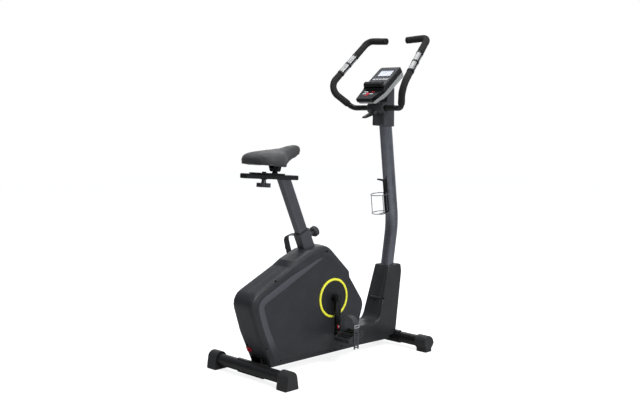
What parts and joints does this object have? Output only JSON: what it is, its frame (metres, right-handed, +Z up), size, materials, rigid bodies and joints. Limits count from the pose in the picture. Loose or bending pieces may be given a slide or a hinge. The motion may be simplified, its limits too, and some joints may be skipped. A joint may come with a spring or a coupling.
{
  "type": "exercise_bike",
  "caption": "Upright exercise bike with belt-driven magnetic flywheel in a moulded housing, sliding saddle on a height-adjustable post, mast with console, bottle cage and looped handlebar.",
  "frame": {"origin": "Centre of the footprint on the floor, under the middle of the bike's overall box.", "axes": "+X forward to the handlebar, +Y to the rider's left, +Z up."},
  "size_m": [0.9546, 0.5, 1.423],
  "materials": {
    "frame_paint": "satin black powder coat",
    "crank_paint": "satin black powder coat",
    "graphite_paint": "graphite powder coat with a fine sparkle",
    "bar_paint": "satin black powder coat",
    "black_plastic": "fine-grained moulded plastic",
    "cap_plastic": "grained moulded plastic",
    "charcoal_plastic": "grained moulded plastic",
    "panel_plastic": "fine-grained moulded plastic",
    "strap_plastic": "flexible moulded plastic",
    "silver_plastic": "silver-coated plastic",
    "ring_plastic": "glossy yellow trim",
    "red_plastic": "glossy red",
    "display": "clear window over a pale display",
    "black_zinc": "black zinc plated",
    "plated_steel": "zinc plated",
    "bright_wire": "bright plated",
    "cast_iron": "grey paint",
    "rubber": "moulded rubber",
    "foam": "soft foam",
    "saddle_cover": "matt padded vinyl"
  },
  "bodies": {
    "frame": {"base_frame": "frame_paint", "seat_tube": "frame_paint", "rear_stabilizer": "frame_paint", "front_stabilizer": "frame_paint", "rear_caps": "cap_plastic", "front_caps": "cap_plastic", "fasteners": "black_zinc", "housing_left": "charcoal_plastic", "housing_right": "charcoal_plastic", "disc_covers": "panel_plastic", "disc_rings": "ring_plastic", "boot_left": "charcoal_plastic", "boot_right": "charcoal_plastic", "mast": "graphite_paint", "head_cover_front": "charcoal_plastic", "head_cover_rear": "charcoal_plastic", "bottle_bracket": "black_plastic", "bottle_cage": "bright_wire", "console_front": "panel_plastic", "console_back": "silver_plastic", "lcd_window": "display", "reading_lip": "black_plastic", "post_bushing": "black_plastic", "crank_bearings": "plated_steel", "flywheel_axle": "plated_steel", "power_inlet": "black_plastic", "tension_motor": "black_plastic", "drive_belt": "rubber"},
    "crank_set": {"crank_axle": "plated_steel", "drive_pulley": "black_plastic", "crank_left": "crank_paint", "crank_right": "crank_paint", "pedal_spindles": "plated_steel"},
    "pedal_left_body": {"pedal_left": "black_plastic", "strap_left": "strap_plastic"},
    "pedal_right_body": {"pedal_right": "black_plastic", "strap_right": "strap_plastic"},
    "flywheel_body": {"flywheel": "cast_iron"},
    "magnet_body": {"magnet_bracket": "frame_paint"},
    "idler_body": {"belt_idler": "black_plastic"},
    "seat_post_body": {"seat_post": "graphite_paint"},
    "pin_body": {"pull_pin": "black_plastic"},
    "carriage_body": {"carriage": "frame_paint"},
    "knob_body": {"carriage_knob": "black_plastic"},
    "saddle_body": {"saddle_clamp": "frame_paint", "saddle": "saddle_cover"},
    "handlebar_body": {"handlebar": "bar_paint", "handlebar_grips": "foam", "pulse_sensors": "bright_wire", "sensor_collars": "black_plastic"},
    "lever_body": {"clamp_lever": "black_plastic"},
    "key_1_body": {"key_1": "silver_plastic"},
    "key_2_body": {"key_2": "silver_plastic"},
    "key_3_body": {"key_3": "silver_plastic"},
    "key_4_body": {"key_4": "silver_plastic"},
    "key_5_body": {"key_5": "silver_plastic"},
    "key_select_body": {"key_select": "red_plastic"},
    "switch_body": {"power_switch": "red_plastic"},
    "wheel_left_body": {"transport_wheel_left": "rubber"},
    "wheel_right_body": {"transport_wheel_right": "rubber"}
  },
  "joints": [
    {"name": "flywheel_turn", "type": "hinge", "parent": "frame", "child": "flywheel_body", "pos_m": [-0.3049, 0, 0.232], "axis": [0, 1, 0], "continuous": true},
    {"name": "crank_turn", "type": "hinge", "parent": "frame", "child": "crank_set", "pos_m": [-0.0209, 0, 0.285], "axis": [0, 1, 0], "continuous": true},
    {"name": "pedal_right_turn", "type": "hinge", "parent": "crank_set", "child": "pedal_right_body", "pos_m": [-0.0209, -0.16, 0.135], "axis": [0, 1, 0], "continuous": true},
    {"name": "pedal_left_turn", "type": "hinge", "parent": "crank_set", "child": "pedal_left_body", "pos_m": [-0.0209, 0.16, 0.435], "axis": [0, 1, 0], "continuous": true},
    {"name": "idler_turn", "type": "hinge", "parent": "frame", "child": "idler_body", "pos_m": [-0.2169, 0.043, 0.18167], "axis": [0, 1, 0], "continuous": true},
    {"name": "magnet_swing", "type": "hinge", "parent": "frame", "child": "magnet_body", "pos_m": [-0.23683, 0, 0.36003], "axis": [0, 1, 0], "range_deg": [0, 8]},
    {"name": "seat_height", "type": "slide", "parent": "frame", "child": "seat_post_body", "axis": [-0.3955, 0, 0.9184], "range_m": [-0.1, 0.08]},
    {"name": "pin_pull", "type": "slide", "parent": "frame", "child": "pin_body", "axis": [0.9184, 0, 0.3955], "range_m": [0, 0.012], "stiffness_N_per_m": 1200, "springref_m": -0.004},
    {"name": "saddle_slide", "type": "slide", "parent": "seat_post_body", "child": "carriage_body", "axis": [0.9965, 0, -0.0837], "range_m": [-0.06, 0.045]},
    {"name": "carriage_knob_turn", "type": "hinge", "parent": "carriage_body", "child": "knob_body", "pos_m": [-0.35651, 0, 0.79323], "axis": [0.0837, 0, 0.9965], "range_deg": [-180, 180]},
    {"name": "saddle_tilt", "type": "hinge", "parent": "carriage_body", "child": "saddle_body", "pos_m": [-0.29336, 0, 0.85215], "axis": [0, 1, 0], "range_deg": [-10, 10]},
    {"name": "handlebar_tilt", "type": "hinge", "parent": "frame", "child": "handlebar_body", "pos_m": [0.3321, 0, 1.098], "axis": [0, 1, 0], "range_deg": [-20, 20]},
    {"name": "clamp_lever_turn", "type": "hinge", "parent": "frame", "child": "lever_body", "pos_m": [0.3011, 0, 1.075], "axis": [0, 1, 0], "range_deg": [0, 40]},
    {"name": "key_1_press", "type": "slide", "parent": "frame", "child": "key_1_body", "axis": [0.6129, 0, -0.7902], "range_m": [0, 0.0012], "stiffness_N_per_m": 900, "springref_m": -0.0006},
    {"name": "key_2_press", "type": "slide", "parent": "frame", "child": "key_2_body", "axis": [0.6129, 0, -0.7902], "range_m": [0, 0.0012], "stiffness_N_per_m": 900, "springref_m": -0.0006},
    {"name": "key_3_press", "type": "slide", "parent": "frame", "child": "key_3_body", "axis": [0.6129, 0, -0.7902], "range_m": [0, 0.0012], "stiffness_N_per_m": 900, "springref_m": -0.0006},
    {"name": "key_4_press", "type": "slide", "parent": "frame", "child": "key_4_body", "axis": [0.6129, 0, -0.7902], "range_m": [0, 0.0012], "stiffness_N_per_m": 900, "springref_m": -0.0006},
    {"name": "key_5_press", "type": "slide", "parent": "frame", "child": "key_5_body", "axis": [0.6129, 0, -0.7902], "range_m": [0, 0.0012], "stiffness_N_per_m": 900, "springref_m": -0.0006},
    {"name": "key_select_press", "type": "slide", "parent": "frame", "child": "key_select_body", "axis": [0.5446, 0, -0.8387], "range_m": [0, 0.0012], "stiffness_N_per_m": 900, "springref_m": -0.0006},
    {"name": "power_switch_rock", "type": "hinge", "parent": "frame", "child": "switch_body", "pos_m": [-0.40702, 0.037, 0.11041], "axis": [-0.4101, 0, 0.912], "range_deg": [-14, 0]},
    {"name": "wheel_left_turn", "type": "hinge", "parent": "frame", "child": "wheel_left_body", "pos_m": [0.4531, 0.218, 0.032], "axis": [0, 1, 0], "continuous": true},
    {"name": "wheel_right_turn", "type": "hinge", "parent": "frame", "child": "wheel_right_body", "pos_m": [0.4531, -0.218, 0.032], "axis": [0, 1, 0], "continuous": true}
  ],
  "couplings": [
    {"joint": "crank_turn", "follows": "flywheel_turn", "ratio": 0.13636},
    {"joint": "idler_turn", "follows": "flywheel_turn", "ratio": -0.83333}
  ]
}
